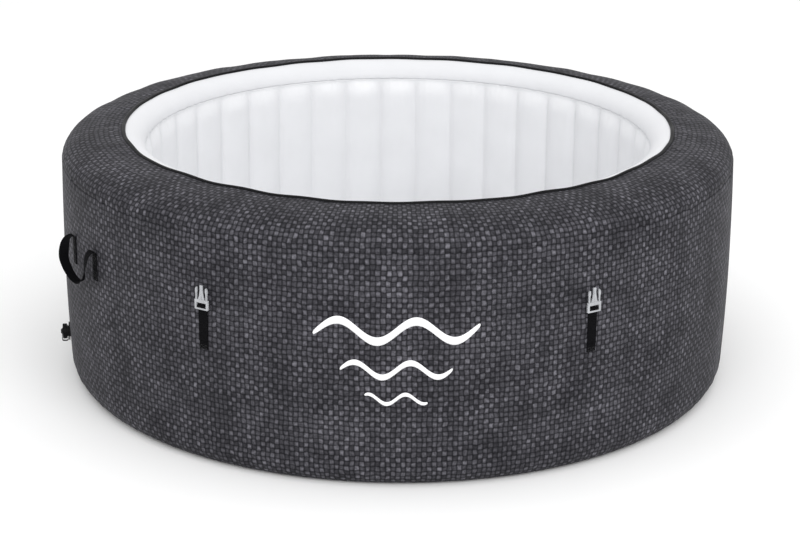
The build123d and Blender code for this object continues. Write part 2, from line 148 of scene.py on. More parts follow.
floor_finish, floor_tree, floor_shader = material("studio_floor", 0.9)
floor_grain = node(floor_tree, "ShaderNodeTexNoise", {"Scale": 3.0, "Detail": 3.0}).outputs[0]
floor_colour = blend_colours(floor_tree, floor_grain, (0.96, 0.96, 0.96), (0.98, 0.98, 0.98))
floor_tree.links.new(floor_colour, floor_shader.inputs["Base Color"])
floor_mesh = bpy.data.meshes.new("floor")
floor_mesh.from_pydata([(-30, -30, 0), (30, -30, 0), (30, 30, 0), (-30, 30, 0)], [], [(0, 1, 2, 3)])
floor_mesh.materials.append(floor_finish)
floor = bpy.data.objects.new("floor", floor_mesh)
bpy.context.scene.collection.objects.link(floor)

# ---------------------------------------------------------------- outer wall
# One long panel of reinforced PVC, printed with a dark rattan weave, welded at the foot to the base and at the
# shoulder to the top band. Air pressure bows it out a little, and the weld draws small gathers into its top edge.

wall_low, wall_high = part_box("outer_wall")
WALL_RADIUS = wall_high.x
SEAM_HEIGHT = wall_high.z
FOOT_HEIGHT, FOOT_RADIUS, SEAM_RADIUS = 0.060, 0.893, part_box("top_rim")[1].x
BASE_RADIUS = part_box("base_sheet")[1].x
SKIN = 0.0009
COLUMNS = 800
WEAVE_CELLS, CELL_HEIGHT = 460, 0.013


def around(columns=COLUMNS):
    """Azimuths of the columns of a ring, evenly spaced, from the back round by the right to the back again."""
    return np.linspace(-math.pi, math.pi, columns, endpoint=False)


def mesh_piece(name, points, faces, finish, uvs=None):
    """A mesh object at the origin from its points and faces, smooth shaded, with one material. uvs holds a pair for
    every corner of every face, in order."""
    mesh = bpy.data.meshes.new(name)
    mesh.from_pydata(points.reshape(-1, 3).tolist(), [], faces)
    mesh.polygons.foreach_set("use_smooth", np.ones(len(mesh.polygons), bool))
    if uvs is not None:
        layer = mesh.uv_layers.new(name="UVMap")
        layer.data.foreach_set("uv", uvs.astype(np.float32).ravel())
    mesh.materials.append(finish)
    made = bpy.data.objects.new(name, mesh)
    bpy.context.scene.collection.objects.link(made)
    return made


def skin(name, radius, height, relief, reach, finish, thickness=SKIN, v_start=0.0):
    """A skin of revolution with a back. Row i of its front is the circle (radius[i], height[i]) pushed along the
    profile's normal by relief[i, column]; its back is the plain profile, thickness behind. The normal is the
    profile's direction turned a quarter clockwise in the (radius, height) plane. u is azimuth over a whole turn
    times reach, and v is the length along the profile, counted from v_start."""
    azimuth = around(relief.shape[1])
    along_r, along_z = np.gradient(radius), np.gradient(height)
    length = np.hypot(along_r, along_z)
    normal_r, normal_z = along_z / length, -along_r / length
    front_r = radius[:, None] + relief * normal_r[:, None]
    front_z = height[:, None] + relief * normal_z[:, None]
    back_rows = np.unique(np.r_[np.arange(0, len(radius), 4), len(radius) - 1])[::-1]
    behind = thickness - np.minimum(relief.min(1), 0)
    back_r = np.repeat((radius - behind * normal_r)[back_rows, None], len(azimuth), 1)
    back_z = np.repeat((height - behind * normal_z)[back_rows, None], len(azimuth), 1)
    r, z = np.vstack([front_r, back_r]), np.vstack([front_z, back_z])
    points = np.stack([r * np.sin(azimuth), -r * np.cos(azimuth), z], axis=-1)
    rows, columns = r.shape
    i, j = np.meshgrid(np.arange(rows), np.arange(columns), indexing="ij")
    up, right = (i + 1) % rows, (j + 1) % columns
    faces = np.stack([i * columns + j, i * columns + right, up * columns + right, up * columns + j], axis=-1)
    v = v_start + np.r_[0, np.cumsum(np.hypot(np.diff(radius), np.diff(height)))]
    v = np.r_[v, v[back_rows]]
    u_low, u_high = j / columns * reach, (j + 1) / columns * reach
    v_low, v_high = v[i], v[up]
    uvs = np.stack([u_low, v_low, u_high, v_low, u_high, v_high, u_low, v_high], axis=-1)
    return mesh_piece(name, points, faces.reshape(-1, 4).tolist(), finish, uvs)


def ripples(azimuth, waves, seed):
    """An uneven ripple of about -1 to 1 round the tub: sines of nearby wave numbers, each with its own phase and
    with a slow drift in pitch."""
    draw = np.random.default_rng(seed)
    total = np.zeros_like(azimuth)
    for number in waves:
        phase, drift_phase = draw.uniform(0, 2 * math.pi, 2)
        drift = 1.6 * np.sin(draw.integers(2, 7) * azimuth + drift_phase)
        total += np.sin(number * azimuth + phase + drift)
    return total / math.sqrt(len(waves))


def fade(distance, reach):
    """1 at no distance, falling smoothly to nothing over a few times reach."""
    return np.exp(-np.abs(distance) / reach)


def group(name, inputs, outputs):
    """A shader node group with float inputs (name to default) and outputs (name to socket type)."""
    made = bpy.data.node_groups.new(name, "ShaderNodeTree")
    for label, value in inputs.items():
        kind = "NodeSocketVector" if value is None else "NodeSocketFloat"
        socket = made.interface.new_socket(label, in_out="INPUT", socket_type=kind)
        if value is not None:
            socket.default_value = value
    for label in outputs:
        made.interface.new_socket(label, in_out="OUTPUT", socket_type="NodeSocketFloat")
    return made, node(made, "NodeGroupInput").outputs, node(made, "NodeGroupOutput").inputs


def plait_group():
    """Basket weave in flat coordinates, one unit to a cell. Each square cell shows one strand, flat across or upright
    by turns like a chessboard. A strand is level over most of its width, drops to a dark gap at its sides and dips
    where it goes under its neighbours. Every strand and every cell has its own tone, and fine fibres run through."""
    tree, given, result = group("plait", {"Cells": None}, ["Tone", "Height"])
    shaky = node(tree, "ShaderNodeTexNoise", {"Vector": given["Cells"], "Scale": 0.45, "Detail": 2.0}).outputs["Color"]
    shaky = node(tree, "ShaderNodeVectorMath", (shaky, (0.5, 0.5, 0.5)), operation="SUBTRACT").outputs[0]
    shaky = node(tree, "ShaderNodeVectorMath", {0: shaky, 3: 0.8}, operation="SCALE").outputs[0]
    cells = node(tree, "ShaderNodeVectorMath", (given["Cells"], shaky), operation="ADD").outputs[0]
    corner = node(tree, "ShaderNodeVectorMath", (cells,), operation="FLOOR").outputs[0]
    inside = node(tree, "ShaderNodeVectorMath", (cells,), operation="FRACTION").outputs[0]
    inside = node(tree, "ShaderNodeVectorMath", (inside, (0.5, 0.5, 0.5)), operation="SUBTRACT").outputs[0]
    corner_x, corner_y = node(tree, "ShaderNodeSeparateXYZ", (corner,)).outputs[:2]
    x, y = node(tree, "ShaderNodeSeparateXYZ", (inside,)).outputs[:2]
    turn = maths(tree, "MULTIPLY", maths(tree, "ADD", corner_x, corner_y), 0.5)
    turn = maths(tree, "GREATER_THAN", maths(tree, "FRACT", turn), 0.25)
    across = maths(tree, "ABSOLUTE", node(tree, "ShaderNodeMix", {0: turn, 2: y, 3: x}).outputs[0])
    along = maths(tree, "ABSOLUTE", node(tree, "ShaderNodeMix", {0: turn, 2: x, 3: y}).outputs[0])
    side = node(tree, "ShaderNodeMapRange", (across, 0.22, 0.56, 1.0, 0.0), interpolation_type="SMOOTHSTEP").outputs[0]
    dip = node(tree, "ShaderNodeMapRange", (along, 0.10, 0.58, 1.0, 0.30), interpolation_type="SMOOTHSTEP").outputs[0]
    height = maths(tree, "MULTIPLY", side, dip)
    own = node(tree, "ShaderNodeTexWhiteNoise", (corner,), noise_dimensions="2D").outputs["Value"]
    own = node(tree, "ShaderNodeMapRange", (own, 0.0, 1.0, 0.55, 1.0)).outputs[0]
    lane = node(tree, "ShaderNodeMix", {0: turn, 2: corner_y, 3: corner_x}).outputs[0]
    lane = node(tree, "ShaderNodeCombineXYZ", (lane, turn)).outputs[0]
    strand = node(tree, "ShaderNodeTexWhiteNoise", (lane,), noise_dimensions="2D").outputs["Value"]
    strand = node(tree, "ShaderNodeMapRange", (strand, 0.0, 1.0, 0.65, 1.0)).outputs[0]
    upright = node(tree, "ShaderNodeMapRange", (turn, 0.0, 1.0, 0.46, 1.0)).outputs[0]
    fibres = node(tree, "ShaderNodeTexNoise", {"Vector": cells, "Scale": 1.7, "Detail": 4.0}).outputs[0]
    fibres = node(tree, "ShaderNodeMapRange", (fibres, 0.3, 0.7, 0.45, 1.3)).outputs[0]
    tones = maths(tree, "MULTIPLY", maths(tree, "MULTIPLY", own, strand), maths(tree, "MULTIPLY", upright, fibres))
    tree.links.new(maths(tree, "MULTIPLY", height, tones), result["Tone"])
    tree.links.new(height, result["Height"])
    return tree


plait = plait_group()


def printed_weave(name, reach):
    """Satin print: the plait from near black to mid grey, with slow patches of lighter and darker tone. It is flat
    ink on a faintly embossed film, so the bump is small."""
    finish, tree, shader = material(name, 0.6, Specular_IOR_Level=0.07)
    place = node(tree, "ShaderNodeUVMap", uv_map="UVMap").outputs[0]
    per_metre = (WEAVE_CELLS / reach, 1 / CELL_HEIGHT, 0)
    cells = node(tree, "ShaderNodeVectorMath", (place, per_metre), operation="MULTIPLY").outputs[0]
    weave = node(tree, "ShaderNodeGroup", {"Cells": cells}, node_tree=plait)
    patches = node(tree, "ShaderNodeTexNoise", {"Vector": place, "Scale": 9.0, "Detail": 4.0}).outputs[0]
    patches = node(tree, "ShaderNodeMapRange", (patches, 0.3, 0.7, 0.62, 1.24)).outputs[0]
    share = maths(tree, "MULTIPLY", weave.outputs["Tone"], patches)
    colour = blend_colours(tree, share, (0.005, 0.005, 0.0065), (0.160, 0.156, 0.178))
    bump = node(tree, "ShaderNodeBump", {"Strength": 0.35, "Distance": 0.0008, "Height": weave.outputs["Height"]})
    tree.links.new(colour, shader.inputs["Base Color"])
    tree.links.new(bump.outputs[0], shader.inputs["Normal"])
    return finish


def wall_profile(foot_points=14, rise_points=56):
    """The foot is a quarter ellipse out from the base weld, and the wall above it bows out as a parabola on each
    side of its middle, more to the foot than to the shoulder."""
    turn = np.linspace(0, math.pi / 2, foot_points, endpoint=False)
    foot_r = BASE_RADIUS + (FOOT_RADIUS - BASE_RADIUS) * np.sin(turn)
    foot_z = FOOT_HEIGHT * (1 - np.cos(turn))
    z = FOOT_HEIGHT + (SEAM_HEIGHT - FOOT_HEIGHT) * np.linspace(0, 1, rise_points) ** 0.9
    middle = (FOOT_HEIGHT + SEAM_HEIGHT) / 2
    share = (z - middle) / (middle - FOOT_HEIGHT)
    end = np.where(share < 0, FOOT_RADIUS, SEAM_RADIUS)
    return np.r_[foot_r, WALL_RADIUS - (WALL_RADIUS - end) * share**2], np.r_[foot_z, z]


def shoulder_gathers(azimuth):
    """The gathers and the crease at the shoulder weld, where the wall and the top band meet."""
    return ripples(azimuth, (97, 131, 163, 190), 11) * 0.0012 - 0.0014


def wall_relief(azimuth, z):
    """Tucks and swells of the wall: a crease into the shoulder weld with fine gathers below it, looser puckers at
    the foot, and a slow unevenness between the upright webs."""
    gathers = shoulder_gathers(azimuth) * fade(z - SEAM_HEIGHT, 0.014)
    puckers = ripples(azimuth, (71, 103, 149), 12) * fade(z - 0.03, 0.03) * 0.0010
    puckers *= np.clip(z / 0.02, 0, 1)
    slow = ripples(azimuth, (9, 14, 23), 13) * np.sin(np.pi * z / SEAM_HEIGHT) * 0.0008
    webs = -0.0005 * (0.5 - 0.5 * np.cos(40 * azimuth)) ** 6 * np.sin(np.pi * z / SEAM_HEIGHT)
    return gathers + puckers + slow + webs


wall_r, wall_z = wall_profile()
wall_reach = 2 * math.pi * WALL_RADIUS
wall_print = printed_weave("woven_print", wall_reach)
wall_shape = wall_relief(around()[None, :], wall_z[:, None])
outer_wall = skin("wall_skin", wall_r, wall_z, wall_shape, wall_reach, wall_print)
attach(outer_wall, "tub")
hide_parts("outer_wall")

# ---------------------------------------------------------------- top band
# The same printed sheet, welded to the wall along the shoulder and to the piping at the inner edge. It is puffed
# over the rim, and both welds pull gathers into it.

PIPING_LOW, PIPING_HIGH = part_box("rim_piping")
PIPING_CORD = (PIPING_HIGH.z - PIPING_LOW.z) / 2
PIPING_RADIUS = PIPING_HIGH.x - PIPING_CORD
PIPING_HEIGHT = PIPING_HIGH.z - PIPING_CORD


def rim_waver(azimuth):
    """How far the rim's inner edge strays from a true circle, inwards and up: short straight runs between the
    welded webs with soft corners."""
    return ripples(azimuth, (7, 13, 20, 31), 21) * 0.0012


def band_profile(points=44):
    """A superellipse quarter: out at the shoulder it rises straight up, and it arrives level at the piping."""
    turn = np.linspace(0, math.pi / 2, points)
    power = 2 / 2.2
    width = SEAM_RADIUS - PIPING_RADIUS - PIPING_CORD
    rise = PIPING_HEIGHT + 0.0005 - SEAM_HEIGHT
    r = PIPING_RADIUS + PIPING_CORD + width * np.cos(turn).clip(0) ** power
    return r, SEAM_HEIGHT + rise * np.sin(turn) ** power


def band_relief(count):
    """Gathers from both welds, a crease into the shoulder weld, and broad soft swells between them."""
    azimuth, share = around()[None, :], np.linspace(0, 1, count)[:, None]
    shoulder = shoulder_gathers(azimuth) * fade(share, 0.10)
    edge = ripples(azimuth, (37, 61, 89), 23) * fade(share - 1, 0.16) * 0.0014
    swells = ripples(azimuth, (11, 19, 29, 40), 24) * np.sin(np.pi * share) * 0.0010
    waver = rim_waver(azimuth) * share**6
    return shoulder + edge * np.clip((1 - share) / 0.05, 0, 1) + swells + waver


band_r, band_z = band_profile()
wall_length = np.hypot(np.diff(wall_r), np.diff(wall_z)).sum()
band_shape = band_relief(len(band_r))
top_band = skin("top_band", band_r, band_z, band_shape, wall_reach, wall_print, v_start=wall_length)
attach(top_band, "tub")
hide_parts("top_rim")

# ---------------------------------------------------------------- rim piping
# A soft black vinyl bead welded between the printed band and the white liner.


def ring_tube(name, radius, height, cord, finish, sides=14):
    """A tube round the tub's axis. radius and height are given at every column, and cord is its own radius."""
    azimuth = around()[None, :]
    turn = np.linspace(0, 2 * math.pi, sides, endpoint=False)[:, None]
    r = radius[None, :] + cord * np.cos(turn)
    z = height[None, :] + cord * np.sin(turn)
    points = np.stack([r * np.sin(azimuth), -r * np.cos(azimuth), z], axis=-1)
    i, j = np.meshgrid(np.arange(sides), np.arange(azimuth.size), indexing="ij")
    up, right = (i + 1) % sides, (j + 1) % azimuth.size
    faces = np.stack([i, i, up, up], -1) * azimuth.size + np.stack([j, right, right, j], -1)
    return mesh_piece(name, points, faces.reshape(-1, 4).tolist(), finish)


def grained(name, colour, roughness, grain, depth, shade=0.75, **sockets):
    """A moulded or calendered finish: fine grain in the surface, and a slow change of tone and gloss."""
    finish, tree, shader = material(name, roughness, **sockets)
    place = node(tree, "ShaderNodeTexCoord").outputs["Object"]
    fine = node(tree, "ShaderNodeTexNoise", {"Vector": place, "Scale": grain, "Detail": 3.0}).outputs[0]
    slow = node(tree, "ShaderNodeTexNoise", {"Vector": place, "Scale": grain / 40, "Detail": 3.0}).outputs[0]
    share = node(tree, "ShaderNodeMapRange", (slow, 0.35, 0.65, 0.0, 1.0)).outputs[0]
    tinted = blend_colours(tree, share, tuple(shade * c for c in colour), colour)
    gloss = node(tree, "ShaderNodeMapRange", (slow, 0.3, 0.7, roughness - 0.05, roughness + 0.05)).outputs[0]
    bump = node(tree, "ShaderNodeBump", {"Strength": 0.3, "Distance": depth, "Height": fine}).outputs[0]
    tree.links.new(tinted, shader.inputs["Base Color"])
    tree.links.new(gloss, shader.inputs["Roughness"])
    tree.links.new(bump, shader.inputs["Normal"])
    return finish


piping_black = grained("black_piping", (0.004, 0.004, 0.005), 0.5, 900, 0.0001, Specular_IOR_Level=0.12)
PIPING_BEAD = 1.5 * PIPING_CORD
waver = rim_waver(around())
piping = ring_tube("piping_bead", PIPING_RADIUS - waver * 0.5, PIPING_HEIGHT + waver, PIPING_BEAD, piping_black)
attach(piping, "tub")
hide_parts("rim_piping")

# ---------------------------------------------------------------- white liner
# Smooth white PVC film. A plain band slopes from the piping to the inner weld; below it the wall is puffed into
# forty upright cells between the webs; the floor is one slack round sheet.

WELD_RADIUS, WELD_HEIGHT = 0.680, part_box("inner_wall")[1].z
FLOOR_LOW, FLOOR_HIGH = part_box("inner_floor")
CELLS, PUFF, WELD_SHARE = 40, 0.0145, 0.3

liner_white = grained("liner_white", (0.785, 0.790, 0.807), 0.4, 500, 0.00012, shade=0.98, Coat_Weight=0.08)
# The rim band's white is a darker copy of the liner's white film: painted shade that holds back the extra light the
# up-facing band catches from overhead.
band_white_painted_shade = grained("band_white_painted_shade", (0.690, 0.695, 0.715), 0.45, 500, 0.00012, shade=0.98)


def liner_band(points=26):
    """Profile of the plain band: level off the piping, then bent down in a circular sweep to the inner weld."""
    start_r, start_z = PIPING_RADIUS - PIPING_CORD, PIPING_HEIGHT - 0.0005
    share = np.linspace(0, 1, points)
    r = start_r + (WELD_RADIUS - WELD_SHARE * PUFF - start_r) * np.sin(share * math.pi / 2) ** 0.9
    return r, start_z + (WELD_HEIGHT + 0.0006 - start_z) * (1 - np.cos(share * math.pi / 2)) ** 0.85


def liner_band_relief(count):
    """The rim's waver at the top, and short gathers that run into the weld."""
    azimuth, share = around()[None, :], np.linspace(0, 1, count)[:, None]
    gathers = ripples(azimuth, (79, 113, 151), 31) * fade(share - 1, 0.10) * 0.0008
    return rim_waver(azimuth) * (1 - share) ** 4 + gathers


def pleat_relief(height):
    """Puffed cells: across a cell the front rises steeply from each crease to a broad flat crown. Up the wall it
    rounds off below the weld and at the floor. At the weld all of it stands out by WELD_SHARE of the puff. Each cell swells a little differently, small gathers hang from the
    weld, and a few soft folds lie across the lower wall."""
    azimuth, z = around()[None, :], height[:, None]
    place = (azimuth / (2 * math.pi) * CELLS) % 1.0
    across = np.abs(2 * ((place + 0.5) % 1.0) - 1)
    crown = (1 - across**2.4) ** 0.8
    below, above = (WELD_HEIGHT - z).clip(0), z.clip(0)
    rounded = np.sin(np.clip(below / 0.055, 0, 1) * math.pi / 2) * (1 - 0.55 * fade(above, 0.03))
    cell = np.floor((azimuth / (2 * math.pi) * CELLS + 0.5) % CELLS).astype(int)
    own = np.random.default_rng(32).uniform(0.88, 1.05, CELLS)[cell]
    gathers = ripples(azimuth, (160, 210, 275), 33) * fade(below, 0.030) * np.clip(below / 0.006, 0, 1) * 0.0009
    folds = np.sin(z * 46 + 2.2 * ripples(azimuth, (3, 5, 8), 34)) * 0.0005 * crown
    weld = fade(below, 0.007)
    return PUFF * (crown * rounded * own * (1 - weld) + WELD_SHARE * weld) + gathers * crown + folds


def floor_sheet(name, radius, low, high, finish, rings=60, columns=400):
    """A round sheet with a slack top: rings spread evenly to the rim, lifted by soft radial wrinkles that grow
    outwards, closed by a flat underside and joined to a point at each centre."""
    azimuth = np.linspace(-math.pi, math.pi, columns, endpoint=False)[None, :]
    share = np.linspace(0.02, 1, rings)[:, None]
    wrinkles = ripples(azimuth, (17, 26, 41), 35) * share**3 + ripples(azimuth, (5, 8), 36) * share
    top = high + (wrinkles.clip(-0.6, 2) + 0.6) * 0.0012 * np.clip((1 - share) / 0.03, 0, 1)
    r = radius * np.vstack([share, [[1.0]], share[-5::-11]])
    z = np.vstack([top, np.full((len(r) - rings, columns), low)])
    sides = np.stack([r * np.sin(azimuth), -r * np.cos(azimuth), z], axis=-1).reshape(-1, 3)
    points = np.vstack([sides, [[0, 0, high], [0, 0, low]]])
    i, j = np.meshgrid(np.arange(len(r) - 1), np.arange(columns), indexing="ij")
    right = (j + 1) % columns
    quads = np.stack([i, i + 1, i + 1, i], -1) * columns + np.stack([j, j, right, right], -1)
    j = np.arange(columns)
    right = (j + 1) % columns
    last = (len(r) - 1) * columns
    caps = [np.stack([np.full(columns, len(sides)), j, right], -1)]
    caps.append(np.stack([np.full(columns, len(sides) + 1), last + right, last + j], -1))
    return mesh_piece(name, points, quads.reshape(-1, 4).tolist() + np.vstack(caps).tolist(), finish)


liner_r, liner_z = liner_band()
rim_liner = skin("rim_liner", liner_r, liner_z, liner_band_relief(len(liner_r)), 4.4, band_white_painted_shade)
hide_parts("inner_rim_band")
steps = np.linspace(0, 1, 84)
pleat_z = WELD_HEIGHT - (WELD_HEIGHT - FLOOR_HIGH.z) * (0.5 * steps + 0.5 * steps**2.4)
pleats = skin(
    "pleated_wall", np.full(84, WELD_RADIUS), pleat_z, pleat_relief(pleat_z), 4.3, liner_white, thickness=0.0004
)
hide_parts("inner_wall")
floor_film = floor_sheet("floor_sheet", FLOOR_HIGH.x, FLOOR_LOW.z, FLOOR_HIGH.z, liner_white)
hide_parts("inner_floor")
for piece in (rim_liner, pleats, floor_film):
    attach(piece, "tub")

# ---------------------------------------------------------------- front print
# A plain emblem of three waves, printed in white on the front of the wall.

WAVES = {"wide": (0.402, 0.196, 0.025), "middle": (0.306, 0.132, 0.018), "small": (0.233, 0.074, 0.012)}
WAVE_PITCH, WAVE_SWING = 0.124, 0.017
INK = 0.0003

print_white = grained("print_white", (0.86, 0.86, 0.87), 0.45, 900, 0.00008, shade=0.95)


def wave_print(name, height, half_length, swing, columns=240, rows=5):
    """A ribbon of ink on the wall: its middle line is a sine of the distance along the wall, and it narrows to
    rounded ends as the fourth root of what is left of its length. The front and back sheets are joined all round."""
    share = np.linspace(-1, 1, columns)[None, :]
    along = share * half_length
    half = swing * 0.42 * (1 - share**4).clip(1e-6) ** 0.25
    middle = height + swing * np.sin(2 * math.pi * along / (WAVE_PITCH * swing / WAVE_SWING))
    across = np.linspace(-1, 1, rows)[:, None]
    z = np.vstack([middle + across * half, middle - across * half])
    azimuth = np.repeat(along / WALL_RADIUS, 2 * rows, 0)
    surface = np.interp(z, wall_z, wall_r) + wall_relief(azimuth, z)
    lift = np.r_[np.full(rows, 2 * INK), np.full(rows, INK)][:, None]
    r = surface + lift
    points = np.stack([r * np.sin(azimuth), -r * np.cos(azimuth), z], axis=-1)
    i, j = np.meshgrid(np.arange(2 * rows), np.arange(columns - 1), indexing="ij")
    up = (i + 1) % (2 * rows)
    faces = np.stack([i, i, up, up], -1) * columns + np.stack([j, j + 1, j + 1, j], -1)
    faces = faces.reshape(-1, 4).tolist()
    faces.append([i * columns for i in range(2 * rows)])
    faces.append([i * columns + columns - 1 for i in reversed(range(2 * rows))])
    return mesh_piece(name, points, faces, print_white)


for size_name, (height, half_length, swing) in WAVES.items():
    emblem = wave_print(f"wave_print_{size_name}", height, half_length, swing)
    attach(emblem, "tub")

# ---------------------------------------------------------------- cover straps
# Black polypropylene webbing, 25 mm wide. Each strap is sewn flat to the wall at its foot, stands up to the buckle,
# wraps its bar and comes back down on itself.

WEBBING_WIDTH, WEBBING = 0.025, 0.0015
joints = {joint["name"]: joint for joint in frame["joints"]}


def webbing_finish():
    """Woven webbing from its own coordinates: u is across the band and v along it. Ribs lean one way on one half
    and the other way on the other half, and each rib is a row of small rounded yarns."""
    finish, tree, shader = material("webbing", 0.75, Specular_IOR_Level=0.03, Sheen_Weight=0.0)
    place = node(tree, "ShaderNodeUVMap", uv_map="UVMap").outputs[0]
    u, v = node(tree, "ShaderNodeSeparateXYZ", (place,)).outputs[:2]
    lean = maths(tree, "PINGPONG", u, WEBBING_WIDTH / 4)
    rib = maths(tree, "SINE", maths(tree, "MULTIPLY", maths(tree, "ADD", v, lean), 2 * math.pi / 0.0022))
    yarn = maths(tree, "SINE", maths(tree, "MULTIPLY", u, 2 * math.pi / 0.0011))
    height = maths(tree, "ADD", rib, maths(tree, "MULTIPLY", yarn, 0.5))
    # The colour follows the yarns' height: painted shade darkens the grooves between ribs and yarns while their tops
    # stay lighter, and the dust noise then darkens it at random.
    share = node(tree, "ShaderNodeMapRange", (height, -1.5, 1.5, 0.0, 1.0)).outputs[0]
    dust = node(tree, "ShaderNodeTexNoise", {"Vector": place, "Scale": 180.0, "Detail": 3.0}).outputs[0]
    share = maths(tree, "MULTIPLY", share, dust)
    colour = blend_colours(tree, share, (0.003, 0.003, 0.0035), (0.012, 0.012, 0.014))
    bump = node(tree, "ShaderNodeBump", {"Strength": 0.8, "Distance": 0.0004, "Height": height}).outputs[0]
    tree.links.new(colour, shader.inputs["Base Color"])
    tree.links.new(bump, shader.inputs["Normal"])
    return finish


def smooth_line(points, count):
    """A Catmull-Rom line through the points, sampled evenly by index."""
    knots = np.vstack([2 * points[0] - points[1], points, 2 * points[-1] - points[-2]])
    place = np.linspace(0, len(points) - 1, count)
    start = np.minimum(place.astype(int), len(points) - 2)
    t = (place - start)[:, None]
    a, b, c, d = knots[start], knots[start + 1], knots[start + 2], knots[start + 3]
    return 0.5 * (2 * b + (c - a) * t + (2 * a - 5 * b + 4 * c - d) * t**2 + (3 * b - a - 3 * c + d) * t**3)


def on_wall(azimuth, height, local):
    """Points (along, up, out) round a place on the wall, wrapped to its curve, as (x, y, z)."""
    turn = azimuth + local[:, 0] / WALL_RADIUS
    r = WALL_RADIUS + local[:, 2]
    return np.stack([r * np.sin(turn), -r * np.cos(turn), height + local[:, 1]], axis=-1)


def ribbon(name, line, side, finish, width=WEBBING_WIDTH, thickness=WEBBING, sides=16):
    """A band with soft edges along a line: a flat superellipse, wide along side, carried from point to point. u is
    the distance round its section from one edge, and v the distance along it."""
    line_way = np.gradient(line, axis=0)
    line_way /= np.linalg.norm(line_way, axis=1, keepdims=True)
    side = side - (side * line_way).sum(1, keepdims=True) * line_way
    side /= np.linalg.norm(side, axis=1, keepdims=True)
    normal = np.cross(side, line_way)
    turn = np.linspace(0, 2 * math.pi, sides, endpoint=False)
    wide = width / 2 * np.sign(np.cos(turn)) * np.abs(np.cos(turn)) ** 0.4
    deep = thickness / 2 * np.sign(np.sin(turn)) * np.abs(np.sin(turn)) ** 0.6
    points = line[:, None] + wide[None, :, None] * side[:, None] + deep[None, :, None] * normal[:, None]
    rows = len(line)
    i, j = np.meshgrid(np.arange(rows - 1), np.arange(sides), indexing="ij")
    nxt = (j + 1) % sides
    faces = (np.stack([i, i, i + 1, i + 1], -1) * sides + np.stack([j, nxt, nxt, j], -1)).reshape(-1, 4).tolist()
    faces.append(list(range(sides))[::-1])
    faces.append([(rows - 1) * sides + k for k in range(sides)])
    v = np.r_[0, np.cumsum(np.linalg.norm(np.diff(line, axis=0), axis=1))]
    u = wide + width / 2
    uvs = np.stack([u[j], v[i], u[nxt], v[i], u[nxt], v[i + 1], u[j], v[i + 1]], axis=-1).ravel()
    uvs = np.r_[uvs, np.zeros(4 * sides)]
    return mesh_piece(name, points, faces, finish, uvs)


def stitch_row(start, end, pitch=0.0042):
    """Middles and half lengths of the stitches of one straight row, in (along, up)."""
    start, end = np.array(start), np.array(end)
    count = max(2, round(np.linalg.norm(end - start) / pitch))
    places = start + (end - start) * ((np.arange(count) + 0.5) / count)[:, None]
    return places, np.repeat(((end - start) / count * 0.38)[None], count, 0)


def stitched_box(low, high):
    """A box with a cross in it, as (along, up) rows of stitches."""
    (x0, y0), (x1, y1) = low, high
    corners = [(x0, y0), (x1, y0), (x1, y1), (x0, y1)]
    rows = [stitch_row(corners[k], corners[(k + 1) % 4]) for k in range(4)]
    rows += [stitch_row(corners[0], corners[2]), stitch_row(corners[1], corners[3])]
    return [np.vstack(part) for part in zip(*rows)]


def stitches(name, azimuth, height, boxes, out, finish, thread=0.00035):
    """Short threads on the webbing's face: each is a six-sided spindle, thick in its middle and pointed at both
    ends, lying along its row."""
    middle, half = (np.vstack(part) for part in zip(*boxes))
    way = np.hstack([half, np.zeros((len(half), 1))])
    centre = np.hstack([middle, np.full((len(middle), 1), out)])
    across = np.stack([-way[:, 1], way[:, 0], np.zeros(len(way))], -1)
    across /= np.linalg.norm(across, axis=1, keepdims=True)
    steps, girth = np.linspace(-1, 1, 5), thread * np.array([0.05, 0.85, 1.0, 0.85, 0.05])
    turn = np.linspace(0, 2 * math.pi, 6, endpoint=False)
    rim = across[:, None, None] * np.cos(turn)[None, None, :, None]
    rim = rim + np.array([0, 0, 1.0]) * np.sin(turn)[None, None, :, None]
    points = centre[:, None, None] + way[:, None, None] * steps[None, :, None, None] + rim * girth[None, :, None, None]
    points = on_wall(azimuth, height, points.reshape(-1, 3))
    i, j = np.meshgrid(np.arange(4), np.arange(6), indexing="ij")
    nxt = (j + 1) % 6
    one = (np.stack([i, i, i + 1, i + 1], -1) * 6 + np.stack([j, nxt, nxt, j], -1)).reshape(-1, 4)
    faces = (one[None] + 30 * np.arange(len(middle))[:, None, None]).reshape(-1, 4).tolist()
    for k in range(len(middle)):
        faces.append([30 * k + 5 - n for n in range(6)])
        faces.append([30 * k + 24 + n for n in range(6)])
    return mesh_piece(name, points, faces, finish)


webbing = webbing_finish()
thread_black = grained("thread_black", (0.020, 0.020, 0.022), 0.5, 4000, 0.00005)
STRAP_FOOT, FOOT_LAP, STITCHED_FACE = 0.321, 0.0135, 0.0022
BAR_UP, BAR_OUT, WRAP = 0.096, 0.0061, 0.00295
back_layer, front_layer = 0.0012, 0.0028


def strap_line():
    """The strap's middle line as (up, out): up the back layer, round the buckle's bar in an arc of three quarters
    of a turn, and down the front layer."""
    turn = np.radians(np.linspace(165, -95, 14))
    arc = np.stack([BAR_UP + WRAP * np.sin(turn), BAR_OUT + WRAP * np.cos(turn)], -1)
    rise = np.linspace(-FOOT_LAP, BAR_UP - 0.006, 24)
    fall = np.linspace(BAR_UP - 0.007, 0.007, 18)
    up = np.stack([rise, np.full(24, back_layer)], -1)
    down = np.stack([fall, np.full(18, front_layer)], -1)
    return np.vstack([up, arc, down])


